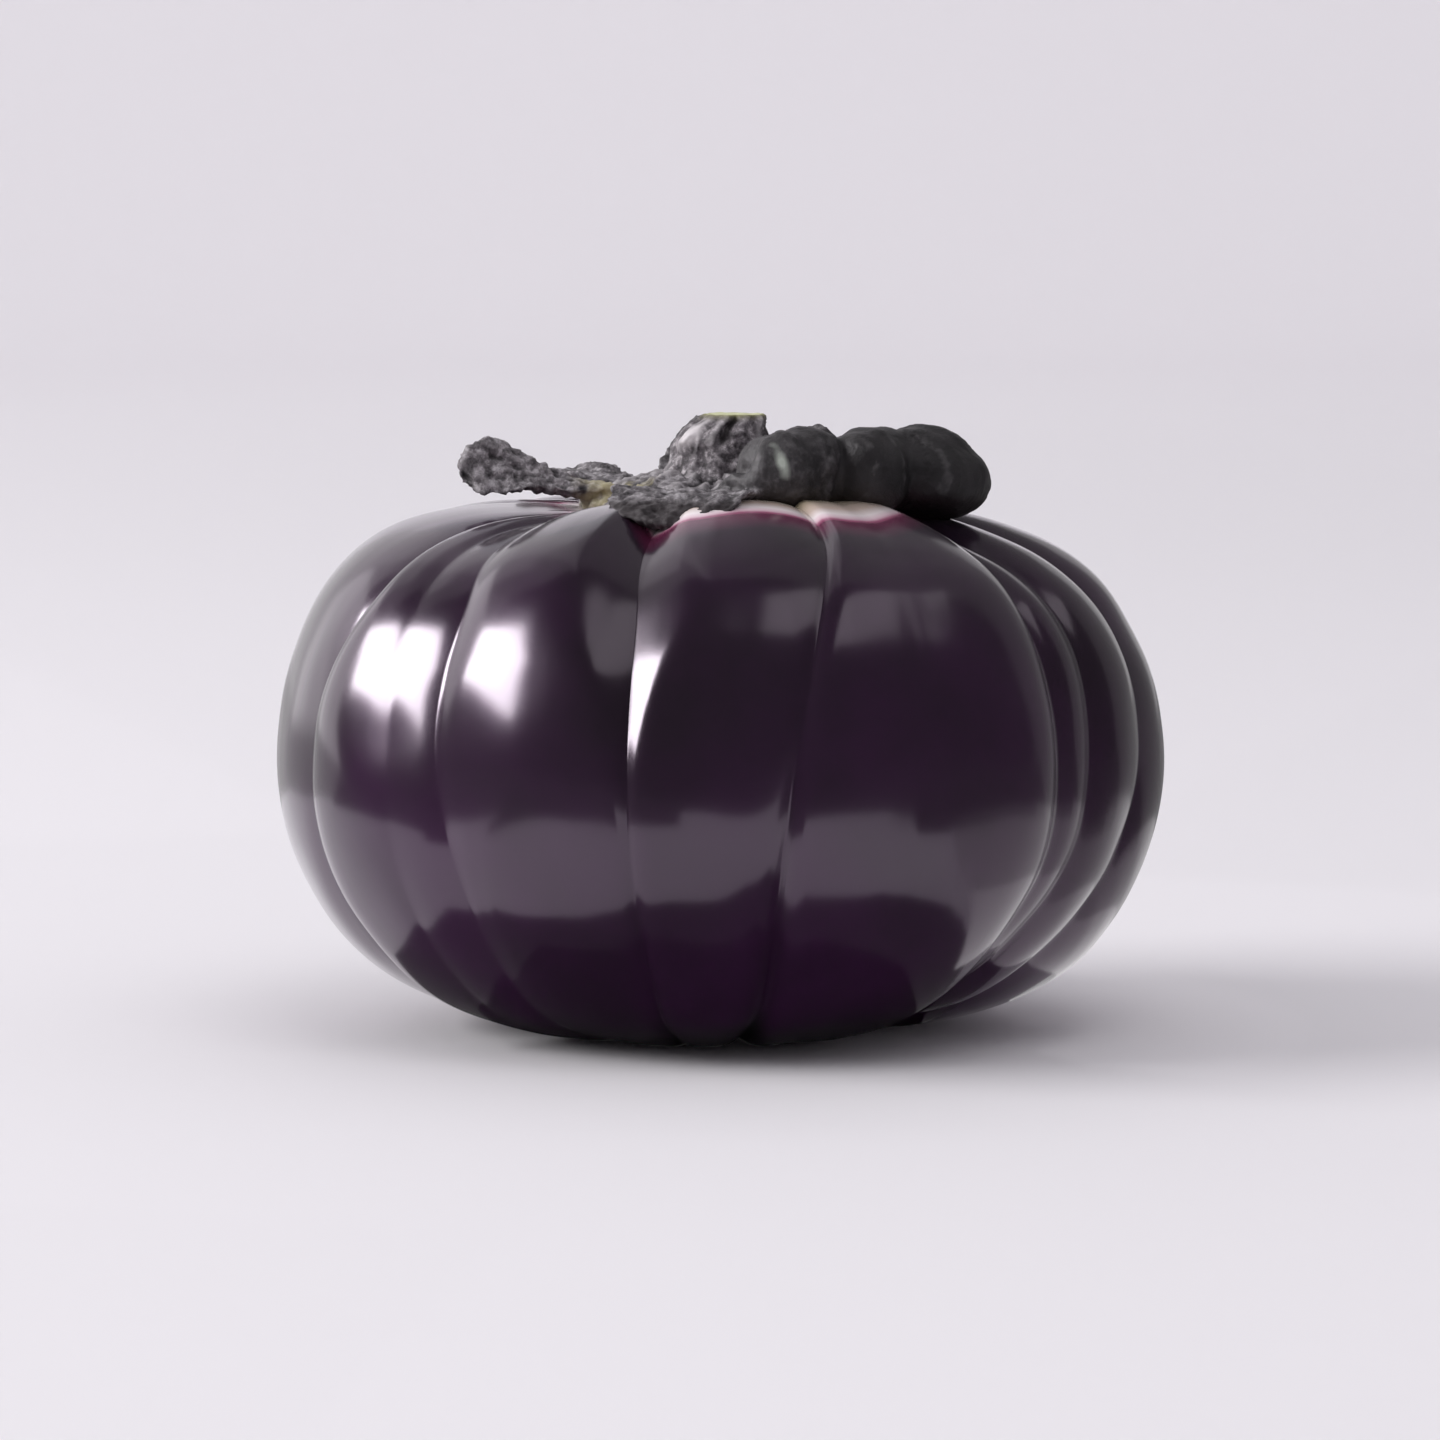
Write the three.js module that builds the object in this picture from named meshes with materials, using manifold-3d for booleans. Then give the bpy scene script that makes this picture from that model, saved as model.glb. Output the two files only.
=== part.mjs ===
// A ribbed globe eggplant as picked: a squat, deeply furrowed berry, the dried calyx that
// caps it, and the short cut end of its stalk. Millimetres, +Z up. It stands upright on its
// blossom end at z = 0, with the origin under the middle of the berry. Azimuths are in
// degrees round +Z, from 0 at the front (-Y) towards +X.
import * as THREE from "three";
import { mergeVertices } from "three/addons/utils/BufferGeometryUtils.js";
import Module from "manifold-3d";

// Berry: half-axes, and the upright profile of the half above and the half below mid height.
const HALF_WIDTH = 54.2;
const HALF_DEPTH = 53;
const MID_HEIGHT = 32.2;
// bulge: how round the sides are; shoulder: a higher power keeps the ends broader and flatter.
const CROWN = { rise: 33.7, bulge: 0.57, shoulder: 7.5, dimple: { depth: 5, spread: 0.36 } };
const BASE = { rise: -33.4, bulge: 0.755, shoulder: 10, dimple: { depth: 4.5, spread: 0.17 } };
const ROUNDNESS = 2.3;
const CROWN_LEAN = 0.034; // fall of the crown for each millimetre towards +X

// Furrows: azimuth at mid height, depth at the shoulder, and the turn from stalk to blossom.
const FURROWS = [
  { azimuth: -65, depth: 3.4, turn: -3 },
  { azimuth: -47, depth: 0.9, turn: 0 },
  { azimuth: -40, depth: 2.4, turn: 7 },
  { azimuth: -11, depth: 2.2, turn: 2 },
  { azimuth: 10, depth: 2.6, turn: -9 },
  { azimuth: 24, depth: 0.8, turn: -6 },
  { azimuth: 45.5, depth: 3.0, turn: -10 },
  { azimuth: 53.5, depth: 2.8, turn: -9 },
  { azimuth: 68, depth: 3.4, turn: -11 },
  { azimuth: 88, depth: 2.6, turn: -6 },
  { azimuth: 108, depth: 1.4, turn: 0 },
  { azimuth: 131, depth: 3.2, turn: 4 },
  { azimuth: 150, depth: 1.0, turn: 3 },
  { azimuth: 168, depth: 2.8, turn: -3 },
  { azimuth: 191, depth: 2.2, turn: -5 },
  { azimuth: 212, depth: 3.2, turn: 0 },
  { azimuth: 231, depth: 1.2, turn: 4 },
  { azimuth: 252, depth: 3.0, turn: 2 },
  { azimuth: 273, depth: 2.4, turn: -2 },
];
const MID_FURROW_SHARE = 0.62; // furrows are this much shallower at mid height
const FULL_RIB = 17; // degrees; a narrower rib doesn't swell out to the full outline
const RIB_ROUNDNESS = 0.62; // under 1, the ribs are broad and the furrows tight
const DEGREES_A_FACE = 4;
const BERRY_ROWS = 34;
const POLE_CROWDING = 0.28; // draws the rows closer together at the two ends

// Calyx: a collar round the stalk, and pointed lobes that grew from it and curled as they dried.
const COLLAR = { radius: 17, thickness: 6.2, sunk: 3, rows: 12, sides: 30 };
const LOBE = { root: 5, thickness: 3.2, rows: 18, sides: 12, bed: 1.4, wave: 0.5 };
const LOBES = [
  { azimuth: -72, length: 30, halfWidth: 7.5, hug: 0.45, curl: 62, roll: 70, twist: -50 },
  { azimuth: -20, length: 22, halfWidth: 8.5, hug: 0.9, curl: 10, roll: 15, twist: 0 },
  { azimuth: 24, length: 28, halfWidth: 7.5, hug: 0.43, curl: 225, roll: 35, twist: 0 },
  { azimuth: 43, length: 31, halfWidth: 6.5, hug: 0.5, curl: 215, roll: 35, twist: 0 },
  { azimuth: 63, length: 39, halfWidth: 9, hug: 0.56, curl: 220, roll: 45, twist: 0 },
  { azimuth: 110, length: 29, halfWidth: 8, hug: 0.46, curl: 215, roll: 30, twist: 0 },
  { azimuth: 152, length: 29, halfWidth: 7.5, hug: 0.5, curl: 170, roll: 35, twist: 0 },
  { azimuth: 195, length: 28, halfWidth: 7.5, hug: 0.48, curl: 200, roll: 30, twist: 0 },
  { azimuth: 238, length: 25, halfWidth: 7.5, hug: 0.5, curl: 75, roll: 50, twist: 20 },
];

// Stalk: cut short, a little oval, with shallow flutes.
const STALK = { foot: 63.2, top: 74.2, radius: 5.4, flare: 1.5, oval: 0.3, flutes: 5, fluteDepth: 0.18 };
const STALK_ROWS = 9;
const STALK_SIDES = 24;

const CLEARANCE = 0.3; // between pieces that lie against each other

const wasm = await Module();
wasm.setup();

const radians = THREE.MathUtils.degToRad;
const { lerp, smoothstep } = THREE.MathUtils;

// A closed surface: rows of points round an axis, narrowed to one point at each end.
function closedSurface(rows, columns, pointAt) {
  const positions = [];
  for (let row = 0; row <= rows; row++) {
    const count = row === 0 || row === rows ? 1 : columns;
    for (let column = 0; column < count; column++) positions.push(...pointAt(row, column));
  }
  const last = 1 + (rows - 1) * columns;
  const at = (row, column) => {
    if (row === 0) return 0;
    return row === rows ? last : 1 + (row - 1) * columns + (column % columns);
  };
  const index = [];
  // Each column has one triangle in the end rows, and two in the rest.
  for (let row = 0; row < rows; row++) {
    for (let column = 0; column < columns; column++) {
      if (row < rows - 1) index.push(at(row, column), at(row + 1, column), at(row + 1, column + 1));
      if (row > 0) index.push(at(row, column), at(row + 1, column + 1), at(row, column + 1));
    }
  }
  const geometry = new THREE.BufferGeometry();
  geometry.setAttribute("position", new THREE.Float32BufferAttribute(positions, 3));
  geometry.setIndex(index);
  return geometry;
}

function solidFrom(geometry) {
  const merged = mergeVertices(geometry, 1e-4);
  const triVerts = new Uint32Array(merged.index.array);
  const vertProperties = merged.attributes.position.array;
  return new wasm.Manifold(new wasm.Mesh({ numProp: 3, vertProperties, triVerts }));
}

function geometryFrom(solid) {
  const mesh = solid.getMesh();
  const positions = [];
  for (let i = 0; i < mesh.numVert; i++) {
    const start = i * mesh.numProp;
    positions.push(...mesh.vertProperties.subarray(start, start + 3));
  }
  const geometry = new THREE.BufferGeometry();
  geometry.setAttribute("position", new THREE.Float32BufferAttribute(positions, 3));
  geometry.setIndex([...mesh.triVerts]);
  geometry.computeVertexNormals();
  return geometry;
}

// The largest of a solid's separate bodies: a cut can leave loose scraps.
function largestBody(solid) {
  return solid.decompose().sort((a, b) => b.volume() - a.volume())[0];
}

// ---- Berry ----

// Distance from the axis, as a share of the widest, at a share of the way up to an end.
function breadth({ bulge, shoulder }, up) {
  return Math.max(0, 1 - bulge * up ** 2 - (1 - bulge) * up ** shoulder) ** (1 / ROUNDNESS);
}

function dimpleAt({ dimple: { depth, spread } }, out) {
  return depth * Math.exp(-((out / spread) ** 2));
}

// Height of the unfurrowed crown at a distance from the axis.
function crownHeight(distance, azimuth) {
  const angle = radians(azimuth);
  const out = Math.hypot(Math.sin(angle) / HALF_WIDTH, Math.cos(angle) / HALF_DEPTH) * distance;
  let low = 0;
  let high = 1;
  while (high - low > 1e-6) {
    const middle = (low + high) / 2;
    if (breadth(CROWN, middle) > out) low = middle;
    else high = middle;
  }
  const lean = CROWN_LEAN * distance * Math.sin(angle) * low;
  return MID_HEIGHT + CROWN.rise * low - dimpleAt(CROWN, out) - lean;
}

// Each column of faces: the furrow on its left, and how far across the rib it stands.
const columns = FURROWS.flatMap((furrow, i) => {
  const next = FURROWS[(i + 1) % FURROWS.length];
  const width = (next.azimuth - furrow.azimuth + 360) % 360;
  const faces = Math.max(3, Math.round(width / DEGREES_A_FACE));
  return Array.from({ length: faces }, (_, k) => {
    const across = (1 - Math.cos((Math.PI * k) / faces)) / 2;
    return { furrow, next, width, across };
  });
});

// A point of the berry. down runs from 0 at the stalk to 1 at the blossom end.
function berryPoint(down, { furrow, next, width, across }, swell = 0) {
  const polar = Math.PI * down - POLE_CROWDING * Math.sin(2 * Math.PI * down);
  const turn = lerp(furrow.turn, next.turn, across);
  const azimuth = furrow.azimuth + width * across + turn * (down - 0.5);
  const angle = radians(azimuth);
  const end = down < 0.5 ? CROWN : BASE;
  const up = Math.abs(Math.cos(polar));
  const out = breadth(end, up);

  const point = new THREE.Vector3(
    HALF_WIDTH * out * Math.sin(angle),
    -HALF_DEPTH * out * Math.cos(angle),
    MID_HEIGHT + end.rise * up - Math.sign(end.rise) * dimpleAt(end, out),
  );
  if (end === CROWN) point.z -= CROWN_LEAN * point.x * up;

  const flank = ROUNDNESS * out ** (ROUNDNESS - 1);
  const slope = 2 * end.bulge * up + end.shoulder * (1 - end.bulge) * up ** (end.shoulder - 1);
  const normal = new THREE.Vector3(
    (flank * Math.sin(angle)) / HALF_WIDTH,
    (-flank * Math.cos(angle)) / HALF_DEPTH,
    slope / end.rise,
  ).normalize();
  const swelling = Math.min(1, width / FULL_RIB) * Math.sin(Math.PI * across) ** RIB_ROUNDNESS;
  const shoulder = lerp(MID_FURROW_SHARE, 1, Math.cos(polar) ** 2);
  const depth = lerp(furrow.depth, next.depth, across) * shoulder * smoothstep(out, 0.03, 0.4);
  point.addScaledVector(normal, swell - depth * (1 - swelling));
  point.z = Math.max(point.z, 0);
  return point;
}

function berry(swell = 0) {
  const pointAt = (row, column) => berryPoint(row / BERRY_ROWS, columns[column], swell);
  return closedSurface(BERRY_ROWS, columns.length, pointAt);
}

// ---- Stalk ----

function stalk(swell = 0) {
  const { foot, top, radius, flare, oval, flutes, fluteDepth } = STALK;
  const sideRows = STALK_ROWS - 3;
  return closedSurface(STALK_ROWS, STALK_SIDES, (row, column) => {
    const angle = (2 * Math.PI * column) / STALK_SIDES;
    const down = Math.min(1, Math.max(0, (row - 2) / sideRows));
    const section = radius + oval * Math.cos(2 * angle) + fluteDepth * Math.cos(flutes * angle);
    const outline = section + flare * down ** 2;
    const edge = row === 1 ? 0.82 : 1; // the worn edge of the cut
    const distance = row === 0 || row === STALK_ROWS ? 0 : outline * edge + swell;
    const height = lerp(top - (row > 1 ? 0.5 : 0), foot, down);
    const over = row <= 1 ? swell : row >= STALK_ROWS - 1 ? -swell : 0;
    return [distance * Math.sin(angle), -distance * Math.cos(angle), height + over];
  });
}

// ---- Calyx ----

function collar() {
  const { radius, thickness, sunk, rows, sides } = COLLAR;
  return closedSurface(rows, sides, (row, column) => {
    const angle = (360 * column) / sides;
    const top = row <= rows / 2;
    const out = top ? (2 * row) / rows : 2 - (2 * row) / rows;
    const distance = radius * out;
    const cover = top ? thickness * (1 - out ** 1.5) + 0.2 : -sunk;
    const height = crownHeight(distance, angle) + cover;
    return [distance * Math.sin(radians(angle)), -distance * Math.cos(radians(angle)), height];
  });
}

// The line a lobe follows: flat along the crown at first, then curling up and back.
function lobeSpine({ azimuth, length, hug, curl }) {
  const step = length / LOBE.rows;
  let distance = LOBE.root;
  let height = crownHeight(distance, azimuth) + LOBE.bed;
  return Array.from({ length: LOBE.rows + 1 }, (_, row) => {
    const rise = crownHeight(distance + step, azimuth) - crownHeight(distance, azimuth);
    const along = row / LOBE.rows;
    const bend = radians(curl) * Math.max(0, (along - hug) / (1 - hug)) ** 1.2;
    const pitch = Math.atan2(rise, step) * (1 - smoothstep(along, hug, 1)) + bend;
    const here = { along, distance, height, pitch };
    distance += step * Math.cos(pitch);
    height += step * Math.sin(pitch);
    return here;
  });
}

// A lobe is a tapering strip with rolled, waved edges, thick at its root.
function lobe(shape) {
  const spine = lobeSpine(shape);
  const angle = radians(shape.azimuth);
  const outward = new THREE.Vector3(Math.sin(angle), -Math.cos(angle), 0);
  const sideways = new THREE.Vector3(Math.cos(angle), Math.sin(angle), 0);
  const upward = new THREE.Vector3(0, 0, 1);
  return closedSurface(LOBE.rows, LOBE.sides, (row, column) => {
    const { along, distance, height, pitch } = spine[row];
    const middle = outward.clone().multiplyScalar(distance).addScaledVector(upward, height);
    if (row === 0 || row === LOBE.rows) return middle;
    const normal = upward.clone().multiplyScalar(Math.cos(pitch));
    normal.addScaledVector(outward, -Math.sin(pitch));
    const twist = radians(shape.twist) * smoothstep(along, shape.hug, 1);
    const broad = sideways.clone().multiplyScalar(Math.cos(twist)).addScaledVector(normal, Math.sin(twist));
    normal.multiplyScalar(Math.cos(twist)).addScaledVector(sideways, -Math.sin(twist));

    const round = (-2 * Math.PI * column) / LOBE.sides;
    const edge = Math.cos(round);
    const taper = (0.4 + 0.6 * smoothstep(along, 0, 0.3)) * (1 - along ** 4) ** 0.7;
    const halfWidth = shape.halfWidth * taper;
    const roll = radians(shape.roll) * smoothstep(along, 0.2, 0.8) + 1e-3;
    const over = roll * edge;
    const half = (LOBE.thickness / 2) * (1 - 0.35 * along) * Math.sin(round);
    const across = (halfWidth / roll - half) * Math.sin(over);
    const wave = LOBE.wave * edge ** 2 * Math.sin(14 * along + 2 * edge + shape.azimuth);
    const lift = (halfWidth / roll) * (1 - Math.cos(over)) + half * Math.cos(over) + wave * taper;
    return middle.addScaledVector(broad, across).addScaledVector(normal, lift);
  });
}

function calyx() {
  const pieces = [collar(), ...LOBES.map(lobe)].map(solidFrom);
  const whole = pieces.reduce((joined, piece) => joined.add(piece));
  const cut = whole.subtract(solidFrom(berry(CLEARANCE))).subtract(solidFrom(stalk(CLEARANCE)));
  return geometryFrom(largestBody(cut));
}

// ---- Whole fruit ----

function piece(name, geometry, color, roughness) {
  const material = new THREE.MeshStandardMaterial({ color, roughness, metalness: 0 });
  const mesh = new THREE.Mesh(geometry, material);
  mesh.name = name;
  return mesh;
}

const eggplant = new THREE.Group();
eggplant.add(
  piece("fruit", berry(), 0x2a1730, 0.2),
  piece("calyx", calyx(), 0x2f332e, 0.75),
  piece("stem", stalk(), 0x4a4a38, 0.8),
);

export default eggplant;
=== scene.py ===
import math

import bpy
import numpy as np
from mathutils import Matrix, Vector, noise
from mathutils.kdtree import KDTree


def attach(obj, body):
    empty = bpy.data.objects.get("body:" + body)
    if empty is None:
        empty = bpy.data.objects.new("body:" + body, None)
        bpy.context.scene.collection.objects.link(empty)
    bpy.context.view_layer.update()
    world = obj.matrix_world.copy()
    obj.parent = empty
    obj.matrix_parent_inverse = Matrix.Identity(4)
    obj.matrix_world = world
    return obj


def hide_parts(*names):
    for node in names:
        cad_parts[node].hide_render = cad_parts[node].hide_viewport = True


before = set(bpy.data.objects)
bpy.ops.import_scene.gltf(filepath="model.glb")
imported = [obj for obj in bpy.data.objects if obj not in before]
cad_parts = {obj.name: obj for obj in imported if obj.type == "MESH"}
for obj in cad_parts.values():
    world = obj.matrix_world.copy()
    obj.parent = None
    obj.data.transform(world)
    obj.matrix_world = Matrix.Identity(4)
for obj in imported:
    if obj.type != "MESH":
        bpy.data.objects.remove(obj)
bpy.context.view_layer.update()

# ---- Berry ----
# The fruit: one berry that grew from many fused carpels, so furrows run from the stalk down to
# the blossom end and the ribs between them are of uneven width. It stands upright on the rib
# ends, which its own weight presses a little flat. Lengths here and below are in millimetres.

MM = 0.001  # metres in a millimetre

HALF_WIDTH = 54.2
HALF_DEPTH = 53.0
MID_HEIGHT = 32.2  # of the widest part
# The two ends: how far each rises from the widest part, how much of its curve is a plain bulge,
# how square the rest makes its shoulder, and how deep and how wide its dimple is. Widths are
# shares of the berry's own.
CROWN = {"rise": 33.7, "bulge": 0.57, "shoulder": 7.5, "dimple": 5.0, "spread": 0.36}
BASE = {"rise": -33.4, "bulge": 0.755, "shoulder": 10.0, "dimple": 4.5, "spread": 0.17}
ROUNDNESS = 2.3  # of the side: 2 is an ellipse, more is squarer
CROWN_LEAN = 0.034  # how far the crown falls to the right, in a millimetre across
# One rib end stands a little proud beside the calyx, at the front right.
PROUD_RIB = {"azimuth": 30, "height": 1.8, "out": 0.46, "spread": 0.17}

# Each furrow: its azimuth and depth at five places down the berry, how far the skin falls away
# to its left and right in degrees, how round its bed is, and, where a rib falls to it in a
# straight slope on one side, how many millimetres it falls in a degree. A run or a slope that
# changes on the way down is given at the five places too.
FURROW_PLACES = [0.22, 0.35, 0.46, 0.56, 0.66]
FURROWS = [
    {"line": (-60, -60.5, -66.5, -65.5, -61), "depth": (2.2, 2.6, 2.7, 2.7, 2.7),
     "runs": ((26, 20, 12, 11, 11), 1.8), "bed": 0.3},
    {"line": (-51, -49, -47, -45.5, -44), "depth": (0.5, 0.4, 0.3, 0.3, 0.3),
     "runs": (2.5, 2.5), "bed": 0.8},
    {"line": (-46.5, -39.7, -40, -35.5, -33.5), "depth": (2.6, 3.0, 2.2, 1.2, 0.8),
     "runs": (2, 8), "bed": 0.8, "slopes": (0.14, 0)},
    {"line": (-15, -12, -11.5, -11, -10), "depth": (2.8, 4.1, 0.7, 0.4, 0.7),
     "runs": (2.4, 8), "bed": 0.9,
     "slopes": ((0.4, 0.36, 0.5, 0.5, 0.5), (0.4, 0.44, 0.6, 0.5, 0.5))},
    {"line": (21, 14, 9.5, 7.5, 7), "depth": (1.0, 1.0, 0.8, 1.9, 2.2),
     "runs": ((4, 4, 2, 2.4, 2.4), 0.9), "bed": 0.3},
    {"line": (34, 29, 26, 24, 22), "depth": (0.3, 0.1, 0.2, 0.3, 0.3),
     "runs": (4, 4), "bed": 3},
    {"line": (52.5, 51, 50, 50, 45.5), "depth": (2.8, 2.6, 2.4, 2.3, 2.3),
     "runs": ((2.5, 2.5, 3, 4, 4.5), 4), "bed": 0.7},
    {"line": (60.5, 59.5, 58, 56, 49), "depth": (2.5, 2.4, 2.3, 2.2, 2.2),
     "runs": (5, 4), "bed": 0.6},
    {"line": (79, 79, 78, 71.5, 61), "depth": (3.2, 3.0, 2.9, 2.8, 2.8),
     "runs": (7, 5), "bed": 0.6},
    {"line": (100, 100, 99, 94, 86), "depth": (2.4, 2.1, 1.8, 1.8, 2.0),
     "runs": (4, 4), "bed": 0.4},
    {"line": (115, 115, 115, 114, 112), "depth": (1.4, 1.2, 1.1, 1.1, 1.1),
     "runs": (4, 4), "bed": 1},
    {"line": (130, 130, 131, 131, 132), "depth": (3.0, 2.7, 2.3, 2.3, 2.5),
     "runs": (4, 4), "bed": 0.5},
    {"line": (149, 150, 150, 150, 151), "depth": (1.0, 0.8, 0.7, 0.6, 0.7),
     "runs": (4, 4), "bed": 1.5},
    {"line": (169, 168, 168, 168, 167), "depth": (2.7, 2.3, 1.9, 1.9, 2.1),
     "runs": (4, 4), "bed": 0.6},
    {"line": (193, 192, 191, 191, 190), "depth": (2.2, 1.9, 1.5, 1.5, 1.7),
     "runs": (4, 4), "bed": 0.8},
    {"line": (212, 213, 212, 212, 211), "depth": (3.0, 2.6, 2.2, 2.2, 2.4),
     "runs": (4, 4), "bed": 0.5},
    {"line": (230, 230, 231, 231, 232), "depth": (1.2, 1.0, 0.8, 0.8, 0.8),
     "runs": (4, 4), "bed": 1.2},
    {"line": (244, 245, 245, 246, 248), "depth": (2.9, 2.5, 2.0, 2.0, 2.3),
     "runs": (4, 4), "bed": 0.5},
    {"line": (262, 262, 262, 263, 265), "depth": (1.2, 0.8, 0.7, 0.8, 1.0),
     "runs": (6, 6), "bed": 0.6},
]
CREST = 0.3  # how softly a straight slope ends on the crest of its rib
FURROW_EASE = 15  # rows over which a furrow eases from one direction and depth to the next
FURROW_START, FURROW_FULL = 0.03, 0.5  # shares of the width where furrows begin and are full
# The unevenness of the skin: how high and how wide the soft swellings are, and the fine streaks
# that growth has drawn out along the ribs.
SWELLINGS = [(0.42, 16), (0.14, 8)]
STREAK_HEIGHT = 0.05
STREAK_WIDTH = 1.3
STREAK_STRETCH = 14  # how many times longer than wide a streak is
RIB_LENGTH = 90.0  # over the skin from the stalk to the blossom end
RIB_RADIUS = 30  # mean distance of the skin from the axis
# The bare ring that the calyx kept from the light: its radius, how much further it reaches at
# the front right, where the calyx has drawn back, and a scallop for each lobe that lay there.
BARE_RADIUS = 20
BARE_REACH = 11.5
BARE_SIDE = 18  # azimuth of the middle of that stretch
BARE_FADE = (0.62, 0.93)  # the cosine of the angle from there where it begins and is full
SCALLOPS = 9
SCALLOP_SHIFT = 12
SCALLOP_DEPTH = (0.5, 1.3)  # behind, and at the front right
RAGGED = 0.8  # how far the edge of the ring wanders besides
RAG_LENGTH = 9  # how long each of those wanderings is
FAR_FROM_RING = 50  # what stands for the distance below the middle of the berry
BERRY_ROWS = 200
BERRY_COLUMNS = 400
LEAST_COLUMNS = 6  # between one furrow and the next
ROW_CROWDING = 0.28  # how much closer together the rows of points are at the two ends


def smooth(value, low, high):
    """0 below low, 1 above high, and an even S between them."""
    share = np.clip((value - low) / (high - low), 0, 1)
    return share * share * (3 - 2 * share)


def mix(first, second, share):
    return first + (second - first) * share


def bump(distance, reach):
    """1 at no distance, falling softly to nothing past the reach."""
    return np.exp(-((distance / reach) ** 2))


def breadth(end, up):
    """Distance from the axis, as a share of the widest, at a share of the way up to an end."""
    left = 1 - end["bulge"] * up**2 - (1 - end["bulge"]) * up ** end["shoulder"]
    return np.maximum(left, 0) ** (1 / ROUNDNESS)


def dimple(end, out):
    return end["dimple"] * bump(out, end["spread"])


SEED_STEP = (17.3, 5.1, 9.7)  # from the lumps of one seed to those of the next


def lumps(points, size, seed):
    """Soft random lumps of about that size at each point, from -1 to 1."""
    offset = Vector([seed * step for step in SEED_STEP])
    return np.array([noise.noise(Vector(point) / size + offset) for point in points])


def closed_faces(rows, columns):
    """Faces of a closed surface: rings of points from a first single point to a last one."""
    last = 1 + (rows - 1) * columns
    faces = []
    for column in range(columns):
        after = (column + 1) % columns
        faces.append((0, 1 + column, 1 + after))
        for row in range(rows - 2):
            ring = 1 + row * columns
            below = ring + columns
            faces.append((ring + column, below + column, below + after, ring + after))
        ring = last - columns
        faces.append((ring + column, last, ring + after))
    return faces


def ringed(grid):
    """A grid of values as one list, with its first row and its last row as one value each."""
    return np.concatenate([grid[0, :1], grid[1:-1].reshape(-1, *grid.shape[2:]), grid[-1, :1]])


def smooth_piece(mesh, shades):
    """A smooth mesh as a piece of the scene, with a number for each point in each shade."""
    for shade, values in shades.items():
        layer = mesh.attributes.new(shade, "FLOAT", "POINT")
        layer.data.foreach_set("value", np.asarray(values, np.float32))
    mesh.shade_smooth()
    piece = bpy.data.objects.new(mesh.name, mesh)
    bpy.context.scene.collection.objects.link(piece)
    return piece


def mesh_piece(name, points, faces, shades=None):
    """A smooth piece from points in millimetres."""
    mesh = bpy.data.meshes.new(name)
    mesh.from_pydata((np.asarray(points) * MM).tolist(), [], faces)
    return smooth_piece(mesh, shades or {})


def eased(down, values):
    """What is given at the five places, or once for all five, eased from row to row."""
    values = np.broadcast_to(values, len(FURROW_PLACES))
    ease = np.hanning(2 * FURROW_EASE + 1)
    padded = np.pad(np.interp(down, FURROW_PLACES, values), FURROW_EASE, "edge")
    return np.convolve(padded, ease / ease.sum(), "valid")


def rib_columns(lines):
    """Azimuth of each column of points in every row, closest together in the furrows."""
    after = np.roll(lines, -1, axis=1)
    after[:, -1] += 360
    columns = []
    for first, second in zip(lines.T, after.T):
        faces = max(LEAST_COLUMNS, round(BERRY_COLUMNS * np.mean(second - first) / 360))
        across = (1 - np.cos(math.pi * np.arange(faces) / faces)) / 2
        columns.append(mix(first[:, None], second[:, None], across))
    return np.concatenate(columns, axis=1)


def furrow_depths(down, azimuth, lines):
    """How far the skin is sunk by all the furrows at each row of down and column of azimuth."""
    sunk = 0
    for furrow, line in zip(FURROWS, lines.T):
        away = (azimuth - line[:, None] + 180) % 360 - 180
        run = np.where(away < 0, *(eased(down, run)[:, None] for run in furrow["runs"]))
        slopes = furrow.get("slopes", (0, 0))
        slope = np.where(away < 0, *(eased(down, slope)[:, None] for slope in slopes))
        deep = eased(down, furrow["depth"])[:, None]
        rounded = deep * np.exp(-(np.hypot(away, furrow["bed"]) - furrow["bed"]) / run)
        straight = CREST * np.logaddexp(0, (deep - slope * np.abs(away)) / CREST)
        sunk = sunk + np.where(slope > 0, np.minimum(straight, deep), rounded)
    return sunk


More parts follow.
